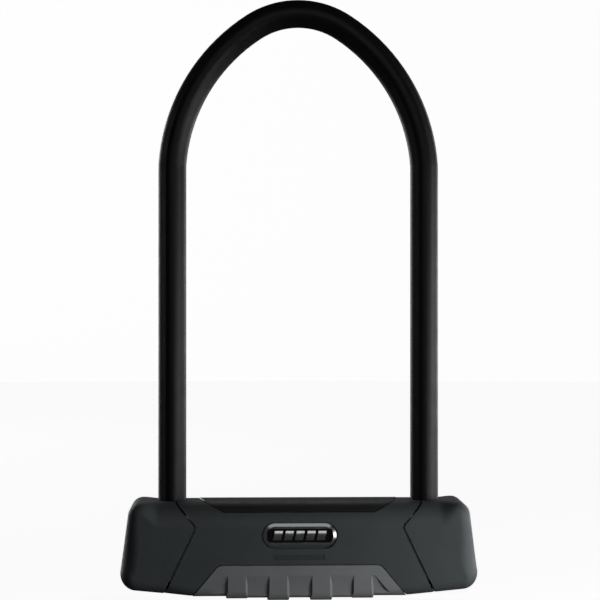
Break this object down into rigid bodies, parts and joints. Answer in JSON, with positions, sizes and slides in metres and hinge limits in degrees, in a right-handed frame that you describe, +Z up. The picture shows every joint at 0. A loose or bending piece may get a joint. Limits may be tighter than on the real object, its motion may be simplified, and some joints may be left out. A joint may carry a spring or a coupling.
{
  "type": "u lock",
  "caption": "Bicycle U-lock: a tall coated square-bar shackle, pulled straight out of a moulded crossbar that holds a key cylinder, a scroll cam, sliding bolts and a keyhole shutter.",
  "frame": {"origin": "under the middle of the crossbar, on the plane of the two inner grip ribs that it stands on", "axes": "+X to the right along the crossbar, +Y to the rear (the badge faces -Y), +Z up along the shackle's legs"},
  "size_m": [0.171, 0.0406, 0.2888],
  "materials": {
    "shackle_vinyl": "soft black vinyl coating with a faint fine texture",
    "soft_touch_black": "two-shot moulded black plastic, fine matt texture",
    "inset_black": "darker moulded plastic",
    "grip_grey": "grey soft-touch grip rubber, fine matt texture",
    "hardened_steel": "zinc-plated hardened steel",
    "zinc_casting": "zinc alloy die casting, as cast",
    "brass": "turned brass",
    "badge_chrome": "satin chrome plating",
    "badge_field": "gloss black",
    "seal_rubber": "black rubber",
    "spring_steel": "stainless spring wire",
    "screw_steel": "black zinc-plated steel"
  },
  "bodies": {
    "crossbar": {"housing_tube": "hardened_steel", "end_plug_left": "hardened_steel", "end_plug_right": "hardened_steel", "socket_block_left": "hardened_steel", "socket_block_right": "hardened_steel", "carrier_block": "zinc_casting", "cylinder_housing": "brass", "cylinder_set_screw": "screw_steel", "cover_front": "soft_touch_black", "cover_rear": "soft_touch_black", "end_cap_left": "soft_touch_black", "end_cap_right": "soft_touch_black", "top_inset": "inset_black", "bottom_grip": "grip_grey", "shackle_seal_left": "seal_rubber", "shackle_seal_right": "seal_rubber", "cover_screws": "screw_steel", "end_cap_screws": "screw_steel", "shutter_spring": "spring_steel", "badge_rim": "badge_chrome", "badge_plate": "badge_field", "badge_pips": "badge_chrome"},
    "cylinder_core": {"core_barrel": "brass", "drill_guard": "hardened_steel", "lock_discs": "brass", "disc_spacers": "brass", "sidebar": "brass", "cam_disc": "hardened_steel"},
    "left_bolt": {"bolt_left": "hardened_steel", "follower_pin_left": "hardened_steel"},
    "right_bolt": {"bolt_right": "hardened_steel", "follower_pin_right": "hardened_steel"},
    "shackle": {"shackle_bar": "hardened_steel", "shackle_coating": "shackle_vinyl"},
    "shutter": {"keyhole_shutter": "hardened_steel"}
  },
  "joints": [
    {"name": "cylinder_turn", "type": "hinge", "parent": "crossbar", "child": "cylinder_core", "pos_m": [0, 0, 0.0177], "axis": [0, 0, 1], "range_deg": [0, 90]},
    {"name": "bolt_slide_right", "type": "slide", "parent": "crossbar", "child": "right_bolt", "axis": [1, 0, 0], "range_m": [0, 0.005]},
    {"name": "bolt_slide_left", "type": "slide", "parent": "crossbar", "child": "left_bolt", "axis": [-1, 0, 0], "range_m": [0, 0.005]},
    {"name": "shackle_lift", "type": "slide", "parent": "crossbar", "child": "shackle", "axis": [0, 0, 1], "range_m": [0, 0.06]},
    {"name": "shutter_slide", "type": "slide", "parent": "crossbar", "child": "shutter", "axis": [1, 0, 0], "range_m": [0, 0.012], "stiffness_N_per_m": 30, "deforming": ["shutter_spring"]}
  ],
  "couplings": [
    {"joint": "cylinder_turn", "follows": "bolt_slide_right", "rad_per_m": 314.16},
    {"joint": "bolt_slide_left", "follows": "bolt_slide_right", "ratio": 1}
  ]
}
